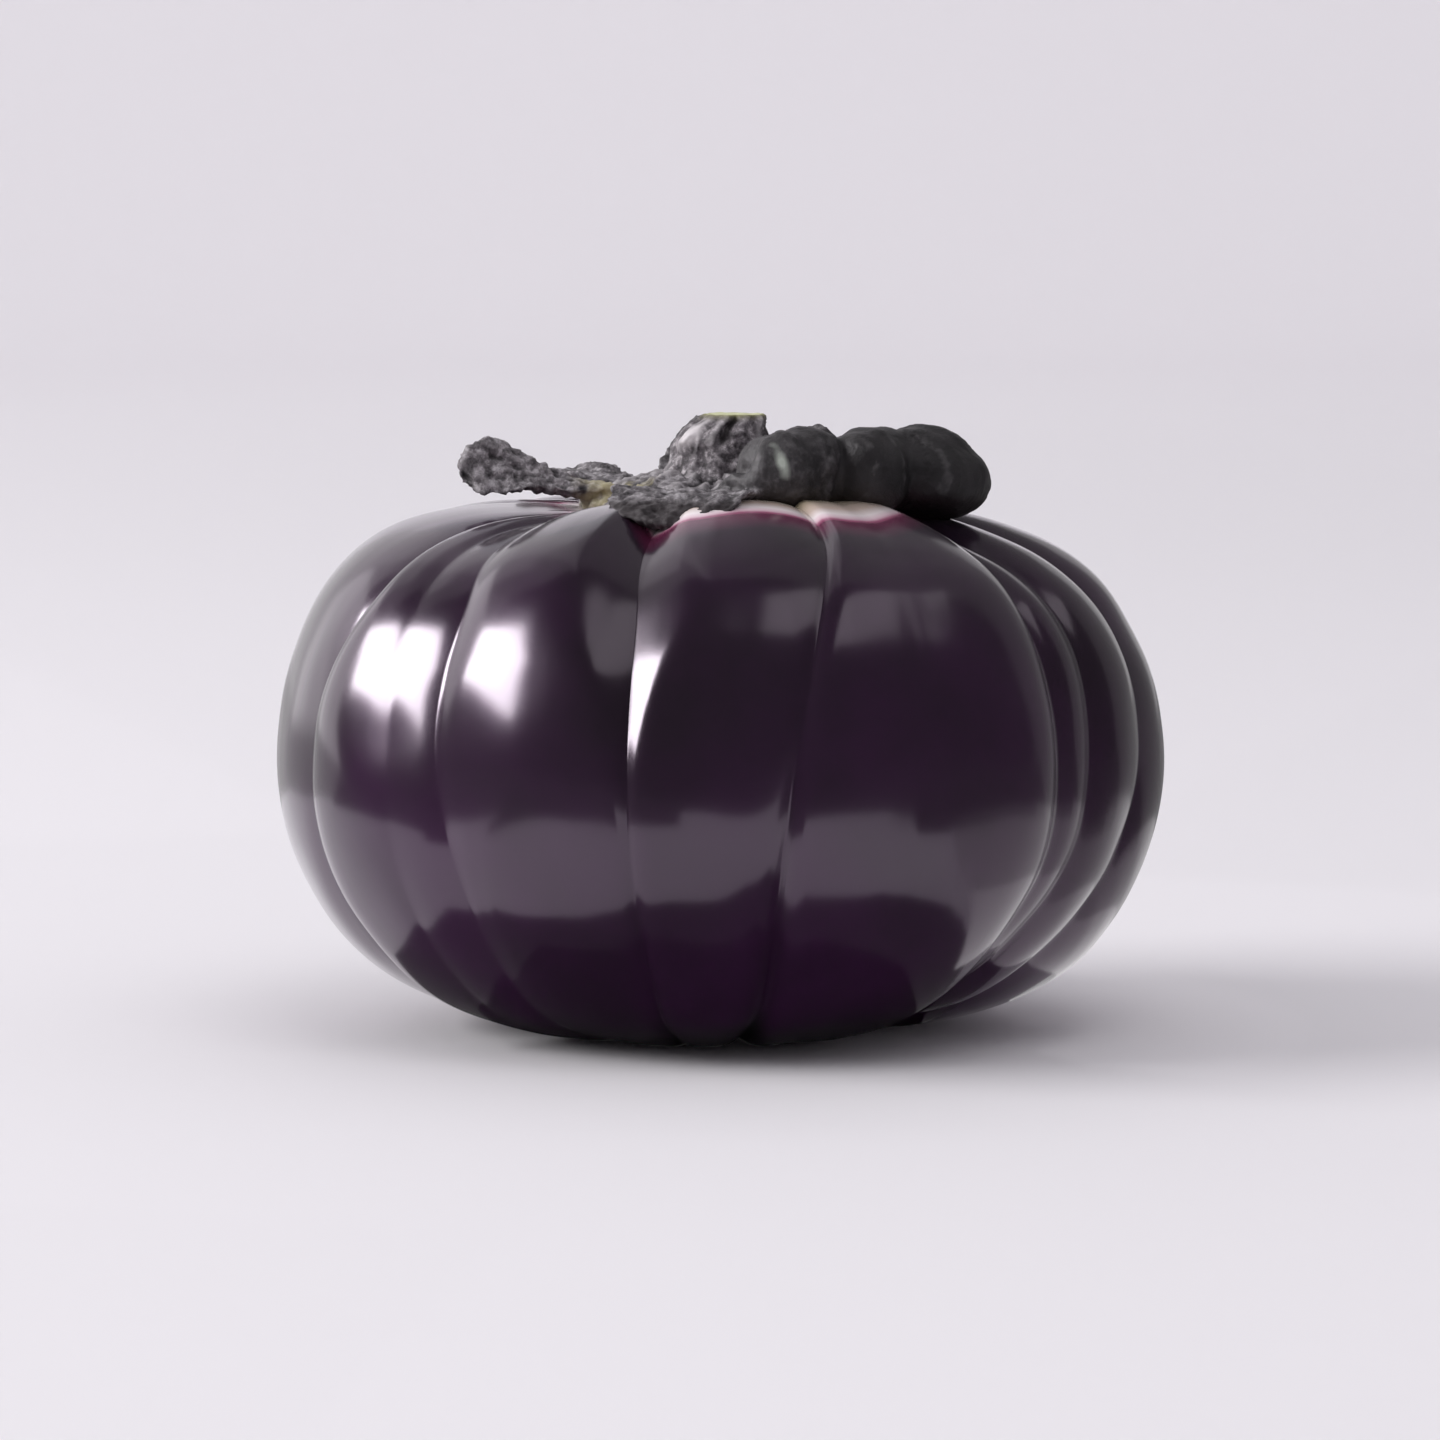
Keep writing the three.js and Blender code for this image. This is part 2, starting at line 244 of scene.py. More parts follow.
def berry_grid():
    """Points of the skin, the outward direction at each, its azimuth and how far down it is."""
    down = np.linspace(0, 1, BERRY_ROWS + 1)
    lines = np.array([eased(down, furrow["line"]) for furrow in FURROWS]).T
    degrees = rib_columns(lines)
    sunk = furrow_depths(down, degrees, lines)
    down = down[:, None]
    polar = math.pi * down - ROW_CROWDING * np.sin(2 * math.pi * down)
    crown = down < 0.5 + 0 * degrees
    up = np.abs(np.cos(polar)) + 0 * degrees
    out = np.where(crown, breadth(CROWN, up), breadth(BASE, up))
    azimuth = np.radians(degrees)
    rise = np.where(crown, CROWN["rise"], BASE["rise"])
    hollow = np.where(crown, -dimple(CROWN, out), dimple(BASE, out))

    x = HALF_WIDTH * out * np.sin(azimuth)
    y = -HALF_DEPTH * out * np.cos(azimuth)
    z = MID_HEIGHT + rise * up + hollow - np.where(crown, CROWN_LEAN * x * up, 0)
    facing = np.maximum(np.cos(azimuth - math.radians(PROUD_RIB["azimuth"])), 0) ** 1.5
    proud = PROUD_RIB["height"] * facing * bump(out - PROUD_RIB["out"], PROUD_RIB["spread"])
    z = z + np.where(crown, proud, 0)

    flank = ROUNDNESS * out ** (ROUNDNESS - 1)
    steepness = {}
    for name, end in (("crown", CROWN), ("base", BASE)):
        power = end["shoulder"]
        edge = power * (1 - end["bulge"]) * up ** (power - 1)
        steepness[name] = (2 * end["bulge"] * up + edge) / end["rise"]
    slope = np.where(crown, steepness["crown"], steepness["base"])
    normal = np.stack([flank * np.sin(azimuth) / HALF_WIDTH,
                       -flank * np.cos(azimuth) / HALF_DEPTH, slope], axis=-1)
    normal /= np.linalg.norm(normal, axis=-1, keepdims=True)

    sunk = sunk * smooth(out, FURROW_START, FURROW_FULL)
    points = np.stack([x, y, z], axis=-1) - normal * sunk[..., None]
    return points, normal, azimuth, down + 0 * azimuth


def berry():
    points, normal, azimuth, down = (ringed(grid) for grid in berry_grid())
    streaks = np.stack([RIB_RADIUS * np.cos(azimuth), RIB_RADIUS * np.sin(azimuth),
                        down * RIB_LENGTH / STREAK_STRETCH], axis=-1)
    uneven = sum(high * lumps(points, wide, seed) for seed, (high, wide) in enumerate(SWELLINGS, 1))
    uneven += STREAK_HEIGHT * lumps(streaks, STREAK_WIDTH, 3)
    points = points + normal * uneven[:, None]
    points[:, 2] = np.maximum(points[:, 2], 0)

    # How far each point lies outside the bare ring.
    front_right = smooth(np.cos(azimuth - math.radians(BARE_SIDE)), *BARE_FADE)
    scallops = np.cos(SCALLOPS * (azimuth + math.radians(SCALLOP_SHIFT)))
    edge = BARE_RADIUS + BARE_REACH * front_right + mix(*SCALLOP_DEPTH, front_right) * scallops
    edge = edge + RAGGED * lumps(points, RAG_LENGTH, 4)
    past_ring = np.where(down < 0.5, np.hypot(points[:, 0], points[:, 1]) - edge, FAR_FROM_RING)
    columns = len(points[1:-1]) // (BERRY_ROWS - 1)
    faces = closed_faces(BERRY_ROWS, columns)
    return mesh_piece("fruit_skin", points, faces, {"down": down, "past_ring": past_ring})


def linear(code):
    """Linear colour, with alpha, of an sRGB hex code such as #2a1730."""
    parts = [int(code[i : i + 2], 16) / 255 for i in (1, 3, 5)]
    return (*[c / 12.92 if c <= 0.04045 else ((c + 0.055) / 1.055) ** 2.4 for c in parts], 1)


def add_node(tree, kind, values=None, links=None, stops=None, **settings):
    """Adds a node with its own settings, the values of its inputs, and what feeds them. A colour
    ramp also gets its stops, each a position and a hex code."""
    made = tree.nodes.new(kind)
    for name, value in settings.items():
        setattr(made, name, value)
    for name, value in (values or {}).items():
        made.inputs[name].default_value = value
    for name, source in (links or {}).items():
        tree.links.new(source, made.inputs[name])
    if stops:
        elements = made.color_ramp.elements
        for position, _ in stops[1:-1]:
            elements.new(position)
        for element, (position, code) in zip(elements, stops):
            element.position = position
            element.color = linear(code)
    return made


def new_material(name):
    """An empty material, and the tree that its nodes go in."""
    material = bpy.data.materials.new(name)
    material.use_nodes = True
    material.node_tree.nodes.clear()
    return material, material.node_tree


# The sockets of a mix node that mixes colours: how much of the second there is, the first and
# the second, and the mixed colour.
SHARE, FIRST, SECOND = 0, 6, 7
MIXED = 2
CLOUD = 20 * MM  # width of the faint cloudiness in the colour of the skin
# Over this width in from its edge, the bare ring goes from its flush through cream to a darker tan,
# painted as the calyx's shade.
CREAM_WIDTH = 9.0  # how far in from its edge the bare ring changes shade


def tinted(tree, colour, tints):
    """A colour with tints laid over it. Each tint follows a value: it starts at one level of it
    and is full at the other, covers that much of what is under it, and has a hex code."""
    for source, start, full, most, code in tints:
        share = add_node(
            tree, "ShaderNodeMapRange", {"From Min": start, "From Max": full, "To Max": most},
            {"Value": source})
        mixed = add_node(
            tree, "ShaderNodeMix", {SECOND: linear(code)},
            {SHARE: share.outputs["Result"], FIRST: colour}, data_type="RGBA")
        colour = mixed.outputs[MIXED]
    return colour


def waxed_eggplant_skin():
    """Eggplant skin in its own thin wax, wiped clean. The skin is a purple so dark that the eye
    takes it for black, and a clearer purple towards the base; the wax is a clear coat that
    mirrors the room. The ring that the calyx covered is cream, with a magenta flush at its edge,
    and is painted darker and browner further in, as the shade of the calyx over it."""
    material, tree = new_material("waxed_eggplant_skin")
    place = add_node(tree, "ShaderNodeTexCoord").outputs["Object"]
    down, past_ring = (
        add_node(tree, "ShaderNodeAttribute", attribute_name=name).outputs["Fac"]
        for name in ("down", "past_ring"))
    cloudy = add_node(tree, "ShaderNodeTexNoise", {"Scale": 1 / CLOUD, "Detail": 3}, {"Vector": place})
    dark = add_node(
        tree, "ShaderNodeValToRGB", links={"Fac": cloudy.outputs["Fac"]},
        stops=[(0.35, "#1f1520"), (0.7, "#2c172e")])
    purple = add_node(
        tree, "ShaderNodeValToRGB", links={"Fac": cloudy.outputs["Fac"]},
        stops=[(0.3, "#271029"), (0.75, "#38153b")])
    low = add_node(tree, "ShaderNodeMapRange", {"From Min": 0.45, "From Max": 0.8}, {"Value": down})
    skin = add_node(
        tree, "ShaderNodeMix", {},
        {SHARE: low.outputs["Result"], FIRST: dark.outputs["Color"], SECOND: purple.outputs["Color"]},
        data_type="RGBA")
    flushed = tinted(tree, skin.outputs[MIXED], [(past_ring, 4.6, 0.3, 0.95, "#651c42")])
    inwards = add_node(
        tree, "ShaderNodeMapRange", {"From Min": -CREAM_WIDTH, "From Max": 0}, {"Value": past_ring})
    # The cream of the bare ring: brightest just inside its edge, and painted darker and browner
    # further in as shade under the calyx.
    cream = add_node(
        tree, "ShaderNodeValToRGB", links={"Fac": inwards.outputs["Result"]},
        stops=[(0, "#9a8f6c"), (0.6, "#ccb9ae"), (0.8, "#f4e9ea"), (0.91, "#e6c9d3"), (1, "#b9708e")])
    bare = add_node(
        tree, "ShaderNodeMapRange", {"From Min": 0.6, "From Max": -0.4}, {"Value": past_ring})
    colour = add_node(
        tree, "ShaderNodeMix", {},
        {SHARE: bare.outputs["Result"], FIRST: flushed, SECOND: cream.outputs["Color"]},
        data_type="RGBA")
    shader = add_node(
        tree, "ShaderNodeBsdfPrincipled",
        {"Roughness": 0.2, "IOR": 1.5, "Specular IOR Level": 0.7, "Specular Tint": linear("#e8d0ea"),
         "Coat Weight": 1.0, "Coat Roughness": 0.155, "Coat IOR": 1.5, "Sheen Weight": 0.05,
         "Sheen Roughness": 0.4},
        {"Base Color": colour.outputs[MIXED]})
    add_node(tree, "ShaderNodeOutputMaterial", links={"Surface": shader.outputs["BSDF"]})
    return material


fruit = berry()
fruit.data.materials.append(waxed_eggplant_skin())
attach(fruit, "root")
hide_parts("fruit")

# ---- Calyx ----
# The leafy cap that held the flower: a collar round the stalk, grown out into nine lobes. It is
# drying, so most lobes have curled up and back into dark lumps, and those on the left, which
# dried first, are grey-brown and crinkled.

LOBE_ROOT = 5.0  # distance from the axis where the lobes start
LOBE_BED = 1.4  # height of the middle of a lobe over the crown it lies on
LOBE_ROWS = 70
LOBE_SIDES = 56
LEAF_HALF = 1.3  # half the thickness of a thin lobe at its root
LEAF_THINNING = 0.45  # the share of that which is gone at its tip
PLUMP_HALF = (1.5, 2.5)  # half the thickness of a plump lobe at its root and at its tip
NEVER_FLAT = 0.001  # the least roll of its edges, since a lobe is drawn as part of a round
LOBE_NECK = 0.4  # how wide a lobe starts, as a share of its full width
WAIST_PLACE, WAIST_SPREAD = 0.6, 0.17  # of a drawn-in waist, as shares of the length
# The slow waves down its edges: how high they are on a fresh and on a dry lobe, and how many
# radians of wave it has. Then the same for the small crinkles of a dry one.
WAVE_HEIGHT = (0.25, 0.75)
WAVES = 14
CRINKLE_HEIGHT = 0.15
CRINKLES = 61
# Each lobe: where it grows, how long it is and half how wide, the share of it that hugs the crown
# before it curls, and how far it curls back, its edges roll up and it twists, in degrees. Then
# how far it draws in at its waist, how blunt its tip is, how dry and how plump it has become, and
# how far its rolled edges open again at the tip.
PLAIN_LOBE = {"twist": 0, "waist": 0, "tip": 4, "plump": 0, "open": 0}
LOBES = [
    {**PLAIN_LOBE, "azimuth": -74, "length": 28, "half_width": 4.1, "hug": 0.33, "curl": 31,
     "roll": 80, "twist": -85, "waist": 0.45, "tip": 20, "dry": 1.0, "open": 0.9},
    {**PLAIN_LOBE, "azimuth": -11, "length": 27.5, "half_width": 8.9, "hug": 0.55, "curl": -34,
     "roll": 12, "tip": 9, "dry": 0.9},
    {**PLAIN_LOBE, "azimuth": 20, "length": 25, "half_width": 7, "hug": 0.58, "curl": 190,
     "roll": 75, "tip": 6, "dry": 0.1, "plump": 0.8},
    {**PLAIN_LOBE, "azimuth": 50, "length": 28, "half_width": 6, "hug": 0.62, "curl": 200,
     "roll": 70, "tip": 6, "dry": 0.0, "plump": 0.8},
    {**PLAIN_LOBE, "azimuth": 70, "length": 32, "half_width": 8.5, "hug": 0.64, "curl": 200,
     "roll": 80, "tip": 9, "dry": 0.0, "plump": 1},
    {**PLAIN_LOBE, "azimuth": 100, "length": 25, "half_width": 7, "hug": 0.6, "curl": 190,
     "roll": 60, "dry": 0.1, "plump": 0.7},
    {**PLAIN_LOBE, "azimuth": 146, "length": 23, "half_width": 7, "hug": 0.55, "curl": 150,
     "roll": 50, "dry": 0.3, "plump": 0.4},
    {**PLAIN_LOBE, "azimuth": 185, "length": 25, "half_width": 7, "hug": 0.5, "curl": 118,
     "roll": 45, "dry": 0.6, "plump": 0.2},
    {**PLAIN_LOBE, "azimuth": 232, "length": 27, "half_width": 7.5, "hug": 0.6, "curl": 12,
     "roll": 35, "twist": 15, "dry": 1.0},
]
# The closed fists that three of the lobes have shrunk into: where the middle is, how far it
# reaches outwards, across and up, and how far it leans out in a millimetre up; a fist of square 2
# is an egg, and more is squarer.
FISTS = [
    {"azimuth": 28, "distance": 18.5, "height": 67.6, "reach": (5.6, 6.8, 5.3), "lean": 0.1,
     "square": 2.3},
    {"azimuth": 52, "distance": 22.5, "height": 67.8, "reach": (5.4, 6.2, 5.1), "lean": 0.0,
     "square": 2.3},
    {"azimuth": 70, "distance": 27, "height": 67.6, "reach": (6.5, 8.6, 5.5), "lean": -0.3,
     "square": 1.9},
]
FIST_SWELLINGS = [(0.09, 5.0), (0.04, 2.6)]  # how high, as a share of its size, and how wide
FIST_ROWS = 40
FIST_SIDES = 64
HALVINGS = 30  # steps in the search for the height of the crown


def crown_height(distance, azimuth):
    """Height of the plain crown at a distance from the axis, before its furrows."""
    a = math.radians(azimuth)
    out = math.hypot(math.sin(a) / HALF_WIDTH, math.cos(a) / HALF_DEPTH) * distance
    low, high = 0.0, 1.0
    for _ in range(HALVINGS):
        up = (low + high) / 2
        if breadth(CROWN, up) > out:
            low = up
        else:
            high = up
    lean = CROWN_LEAN * distance * math.sin(a) * low
    return MID_HEIGHT + CROWN["rise"] * low - dimple(CROWN, out) - lean


def lobe_spine(form):
    """The line a lobe follows: flat along the crown at first, then curling up and back."""
    step = form["length"] / LOBE_ROWS
    distance = LOBE_ROOT
    height = crown_height(distance, form["azimuth"]) + LOBE_BED
    spine = []
    for row in range(LOBE_ROWS + 1):
        along = row / LOBE_ROWS
        ahead = crown_height(distance + step, form["azimuth"])
        rise = ahead - crown_height(distance, form["azimuth"])
        curled = max(0, (along - form["hug"]) / (1 - form["hug"])) ** 1.2
        pitch = math.atan2(rise, step) * (1 - smooth(along, form["hug"], 1))
        pitch += math.radians(form["curl"]) * curled
        spine.append((along, distance, height, pitch))
        distance += step * math.cos(pitch)
        height += step * math.sin(pitch)
    return np.array(spine)


def lobe(form):
    """Points of a lobe, a tapering strip with its edges rolled upwards, and how far along and
    how far across it each is."""
    along, distance, height, pitch = (part[:, None] for part in lobe_spine(form).T)
    a = math.radians(form["azimuth"])
    outward = np.array([math.sin(a), -math.cos(a), 0.0])
    sideways = np.array([math.cos(a), math.sin(a), 0.0])
    upward = np.array([0.0, 0.0, 1.0])
    middle = distance[..., None] * outward + height[..., None] * upward
    normal = np.cos(pitch)[..., None] * upward - np.sin(pitch)[..., None] * outward
    twist = (math.radians(form["twist"]) * smooth(along, form["hug"], 1))[..., None]
    broad = np.cos(twist) * sideways + np.sin(twist) * normal
    normal = np.cos(twist) * normal - np.sin(twist) * sideways

    turn = -2 * math.pi * np.arange(LOBE_SIDES) / LOBE_SIDES
    edge = np.cos(turn)
    width = mix(LOBE_NECK, 1, smooth(along, 0, 0.3)) * (1 - along ** form["tip"]) ** 0.6
    width = width * (1 - form["waist"] * bump(along - WAIST_PLACE, WAIST_SPREAD))
    half_width = form["half_width"] * width
    opened = 1 - form["open"] * smooth(along, 0.6, 0.85)
    roll = math.radians(form["roll"]) * smooth(along, 0.2, 0.8) * opened + NEVER_FLAT
    leaf = LEAF_HALF * (1 - LEAF_THINNING * along)
    plump = mix(*PLUMP_HALF, smooth(along, 0.4, 0.75))
    half = mix(leaf, plump, form["plump"]) * np.sin(turn)
    high = mix(*WAVE_HEIGHT, form["dry"])
    wave = high * edge**2 * np.sin(WAVES * along + 2 * edge + form["azimuth"])
    wave = wave + CRINKLE_HEIGHT * form["dry"] * edge**4 * np.sin(CRINKLES * along + 5 * edge)
    across = (half_width / roll - half) * np.sin(roll * edge)
    lift = half_width / roll * (1 - np.cos(roll * edge)) + half * np.cos(roll * edge)
    lift = lift + wave * width
    points = middle + broad * across[..., None] + normal * lift[..., None]
    points[0], points[-1] = middle[0], middle[-1]
    return points, along + 0 * edge, edge + 0 * along


def fist(form):
    """Points of a rounded, uneven lump round the middle of a lobe that has folded up."""
    a = math.radians(form["azimuth"])
    outward = np.array([math.sin(a), -math.cos(a), 0.0])
    sideways = np.array([math.cos(a), math.sin(a), 0.0])
    upward = np.array([0.0, 0.0, 1.0])
    level = np.linspace(0, math.pi, FIST_ROWS + 1)[:, None, None]
    turn = (2 * math.pi * np.arange(FIST_SIDES) / FIST_SIDES)[:, None]

    def squared(value):
        return np.sign(value) * np.abs(value) ** (2 / form["square"])

    out, across, up = form["reach"]
    rise = up * squared(np.cos(level)) + 0 * turn
    points = outward * out * squared(np.sin(level)) * squared(np.cos(turn))
    points = points + sideways * across * squared(np.sin(level)) * squared(np.sin(turn))
    points = points + upward * rise + outward * form["lean"] * rise
    middle = outward * form["distance"] + upward * form["height"]
    flat = points.reshape(-1, 3)
    uneven = sum(high * lumps(flat + middle, wide, seed)
                 for seed, (high, wide) in enumerate(FIST_SWELLINGS, 9))
    return middle + points * (1 + uneven.reshape(points.shape[:2])[..., None])


COLLAR_RADIUS = 17.0
COLLAR_THICKNESS = 7.0  # round the foot of the stalk
COLLAR_EDGE = 0.2  # its thickness at the rim
COLLAR_SUNK = 3.0  # how far its underside lies in the crown, so no gap shows
COLLAR_ROWS = 48
COLLAR_SIDES = 120


def collar():
    """Points of the collar: a mound that falls from the stalk to a thin rim, and its underside."""
    grid = np.zeros((COLLAR_ROWS + 1, COLLAR_SIDES, 3))
    for row in range(COLLAR_ROWS + 1):
        out = 2 * min(row, COLLAR_ROWS - row) / COLLAR_ROWS
        cover = -COLLAR_SUNK
        if row <= COLLAR_ROWS / 2:
            cover = COLLAR_THICKNESS * (1 - out**1.5) + COLLAR_EDGE
        distance = COLLAR_RADIUS * out
        for side in range(COLLAR_SIDES):
            azimuth = 360 * side / COLLAR_SIDES
            a = math.radians(azimuth)
            grid[row, side] = (distance * math.sin(a), -distance * math.cos(a),
                               crown_height(distance, azimuth) + cover)
    return grid


def joined_solid(grids, voxel):
    """One skin round all of the closed grids, from small even faces."""
    points, faces = [], []
    for grid in grids:
        start = sum(len(part) for part in points)
        points.append(ringed(grid))
        sides = closed_faces(grid.shape[0] - 1, grid.shape[1])
        faces += [tuple(start + i for i in face) for face in sides]
    rough = mesh_piece("rough", np.concatenate(points), faces)
    remesh = rough.modifiers.new("remesh", "REMESH")
    remesh.mode = "VOXEL"
    remesh.voxel_size = voxel * MM
    soften = rough.modifiers.new("soften", "SMOOTH")
    soften.iterations = 4
    graph = bpy.context.evaluated_depsgraph_get()
    mesh = bpy.data.meshes.new_from_object(rough.evaluated_get(graph))
    bpy.data.objects.remove(rough)
    return mesh


def read_points(mesh, what):
    """The place, "co", or the outward direction, "normal", of each point of a mesh."""
    found = np.zeros(3 * len(mesh.vertices), np.float32)
    mesh.vertices.foreach_get(what, found)
    return found.reshape(-1, 3)


FOLD_SHARPNESS = 2.4  # how narrow folds are beside the beds between them


def ridged(points, size, seed):
    """Sharp folds with wide beds between them, from 0 in the beds to 1 on the folds."""
    return 1 - np.minimum(1, FOLD_SHARPNESS * np.abs(lumps(points, size, seed)))


FINE_VOXEL = 0.32
NEAREST = 5  # how many lobe points tell a point of the calyx where on its lobe it is
COLLAR_INNER = 10  # where the collar begins to pass into its lobes
DRY_SIDE = -35  # azimuth of the side of the collar that dried first
DRY_COLLAR = (0.25, 0.9)  # how dry the collar is away from that side and on it
# Relief of the calyx: height of the folds where the collar shrank on to the stalk, and the
# distances from the axis where they rise and die away; height of the veins and how many half a
# lobe has; and the wrinkles of drying, wide and fine: how wide, and how high on fresh and on dry
# parts.
FOLD_HEIGHT = 0.9
FOLDS_RISE = (5, 8)
FOLDS_DIE = (12, 18)
VEIN_HEIGHT = 0.12
VEIN_COUNT = 11
WRINKLE_WIDTH = 2.4
WRINKLE_HEIGHT = (0.12, 0.48)
FINE_WRINKLE_WIDTH = 1.1
FINE_WRINKLE_HEIGHT = (0.04, 0.22)
# A painted glint down the first fist: its heights, how far right it runs at each of them, its
# middle height and half its length.
GLINT_HEIGHTS = [66.5, 69.5, 72.0]
GLINT_RUN = [7.8, 7.3, 6.0]
GLINT_MIDDLE, GLINT_HALF = 69.2, 2.2
GREEN_PLACE, GREEN_SPREAD = 0.33, 0.13  # of the green root, as shares of the left lobe
LEFT_LOBE = LOBES[0]["azimuth"]
FRONT_LOBE = LOBES[1]["azimuth"]
# Undersides below this height, and the hanging rim of the front lobe, are painted dark as shade.
UNDERSIDE_TOP = 67.5  # height above which nothing is shaded from below
FRONT_RIM = 65.7  # height of the hanging rim of the front lobe


def calyx_piece():
    lobes = [lobe(form) for form in LOBES]
    solids = [collar(), *map(fist, FISTS), *[grid for grid, _, _ in lobes]]
    mesh = joined_solid(solids, FINE_VOXEL)
    points = read_points(mesh, "co") / MM
    normal = read_points(mesh, "normal")

    # Each point takes how far along and across its lobe it is, and how dry, from the lobe points
    # closest to it.
    tree = KDTree(sum(grid.shape[0] * grid.shape[1] for grid, _, _ in lobes))
    facts = []
    for form, (grid, along, edge) in zip(LOBES, lobes):
        for place, a, e in zip(grid.reshape(-1, 3), along.ravel(), edge.ravel()):
            tree.insert(place, len(facts))
            facts.append((a, e, form["dry"], form["azimuth"]))
    tree.balance()
    facts = np.array(facts)
    near = np.array([np.mean([facts[i] for _, i, _ in tree.find_n(p, NEAREST)], axis=0)
                     for p in points])
    along, edge, dry, lobe_azimuth = near.T

    radius = np.hypot(points[:, 0], points[:, 1])
    azimuth = np.arctan2(points[:, 0], -points[:, 1])
    collar_share = 1 - smooth(radius, COLLAR_INNER, COLLAR_RADIUS)
    front_left = smooth(np.cos(azimuth - math.radians(DRY_SIDE)), -0.2, 0.8)
    dry = mix(dry, mix(*DRY_COLLAR, front_left), collar_share)

    # Folds that run out from the stalk, the veins of the lobes, and the wrinkles of drying.
    around = np.stack([4 * np.cos(azimuth), 4 * np.sin(azimuth), radius / 9], axis=-1)
    folds = lumps(around, 0.42, 5) * smooth(radius, *FOLDS_RISE)
    folds = folds * (1 - smooth(radius, *FOLDS_DIE))
    height = FOLD_HEIGHT * folds * mix(0.5, 1, front_left)
    veins = np.cos(VEIN_COUNT * edge + 0.5 * lumps(points, 5, 6)) * smooth(along, 0.15, 0.5)
    height += VEIN_HEIGHT * veins
    wrinkles = ridged(points, WRINKLE_WIDTH, 7) - 0.5
    height += mix(*WRINKLE_HEIGHT, dry) * wrinkles * mix(0.35, 1, dry)
    height += mix(*FINE_WRINKLE_HEIGHT, dry) * (ridged(points, FINE_WRINKLE_WIDTH, 8) - 0.5)
    points = points + normal * height[:, None]
    mesh.vertices.foreach_set("co", (points * MM).ravel())

    # A painted glint down the first fist; the root of the left lobe, which is still green; and
    # painted shade on the undersides and the hanging rim of the front lobe.
    glint_line = np.interp(points[:, 2], GLINT_HEIGHTS, GLINT_RUN)
    painted_glint = bump(points[:, 0] - glint_line, 0.8) * smooth(-points[:, 1], 10, 13)
    patchy = 0.8 + 0.8 * lumps(points, 1.2, 11)
    painted_glint *= bump(points[:, 2] - GLINT_MIDDLE, GLINT_HALF) * patchy
    green = bump(along - GREEN_PLACE, GREEN_SPREAD) * bump(lobe_azimuth - LEFT_LOBE, 5)
    green *= smooth(-points[:, 1], 1, 4)
    green *= smooth(height, -0.4, 0.0)
    # Painted shade: darker where the calyx faces down low, and along the rim of the front lobe.
    under = smooth(0.25 - normal[:, 2], 0, 0.9) * smooth(UNDERSIDE_TOP - points[:, 2], 0, 4)
    front_lobe = bump(lobe_azimuth - FRONT_LOBE, 12) * smooth(-points[:, 1], 11, 15)
    under = np.maximum(under, front_lobe * smooth(FRONT_RIM - points[:, 2], 0, 1.5))
    mesh.name = "calyx_cap"
    return smooth_piece(mesh, {"dry": dry, "raised": height, "painted_glint": painted_glint,
                               "green": green, "under": under})


FLAKE = 1.5 * MM  # width of the dry flakes
SHADE_CLOUD = 4 * MM  # width of the clouds in the charcoal of the lumps
GRAIN_DEPTH = 0.3 * MM  # how far the flakes stand out


def drying_calyx():
    """Wilted leafy tissue, left to dry: matt charcoal where it shrank in the shade, grey-brown and
    flaky where it dried first, and some yellow-green left near the roots. The crests of its folds
    are paler, partly from wear and partly as a painted highlight; its creases, its undersides and
    the hanging rim of the front lobe are painted dark as shade; and a painted glint runs down one
    side of the first fist."""
    material, tree = new_material("drying_calyx")
    place = add_node(tree, "ShaderNodeTexCoord").outputs["Object"]
    dry, raised, painted_glint, green, under = (
        add_node(tree, "ShaderNodeAttribute", attribute_name=name).outputs["Fac"]
        for name in ("dry", "raised", "painted_glint", "green", "under"))
    flakes = add_node(
        tree, "ShaderNodeTexNoise", {"Scale": 1 / FLAKE, "Detail": 5, "Roughness": 0.72},
        {"Vector": place})
    flaky = add_node(
        tree, "ShaderNodeValToRGB", links={"Fac": flakes.outputs["Fac"]},
        stops=[(0.34, "#282427"), (0.5, "#6e696c"), (0.66, "#b8b3b6")])
    cloudy = add_node(
        tree, "ShaderNodeTexNoise", {"Scale": 1 / SHADE_CLOUD, "Detail": 3}, {"Vector": place})
    sooty = add_node(
        tree, "ShaderNodeValToRGB", links={"Fac": cloudy.outputs["Fac"]},
        stops=[(0.3, "#1d1b1d"), (0.7, "#2e2b2d")])
    tissue = add_node(
        tree, "ShaderNodeMix", {},
        {SHARE: dry, FIRST: sooty.outputs["Color"], SECOND: flaky.outputs["Color"]},
        data_type="RGBA")
    # Over the tissue: paler crests, partly wear and partly painted highlight; painted shade in the
    # creases and on the undersides; the green root; and the painted glint.
    colour = tinted(tree, tissue.outputs[MIXED], [
        (raised, 0.1, 0.6, 0.75, "#b0abad"),
        (raised, -0.12, -0.42, 0.85, "#151113"),
        (under, 0.2, 0.9, 0.85, "#221a1c"),
        (green, 0.1, 0.8, 0.6, "#b3a97c"),
        (painted_glint, 0.2, 0.9, 0.85, "#a9b0a6"),
    ])
    grain = add_node(
        tree, "ShaderNodeBump", {"Strength": 0.7, "Distance": GRAIN_DEPTH},
        {"Height": flakes.outputs["Fac"]})
    rough = add_node(tree, "ShaderNodeMapRange", {"To Min": 0.5, "To Max": 0.7}, {"Value": dry})
    shader = add_node(
        tree, "ShaderNodeBsdfPrincipled", {},
        {"Base Color": colour, "Roughness": rough.outputs["Result"],
         "Normal": grain.outputs["Normal"]})
    add_node(tree, "ShaderNodeOutputMaterial", links={"Surface": shader.outputs["BSDF"]})
    return material


calyx = calyx_piece()
calyx.data.materials.append(drying_calyx())
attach(calyx, "root")
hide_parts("calyx")

# ---- Stalk ----
# What is left of the woody stalk: a short stub with ridged, shrunken bark, cut across with
# shears a few days ago, so the cut face has dried pale with a darker ring of bark round it. It
# grows out of the middle of the calyx.

STALK_ROWS = 160
STALK_SIDES = 240
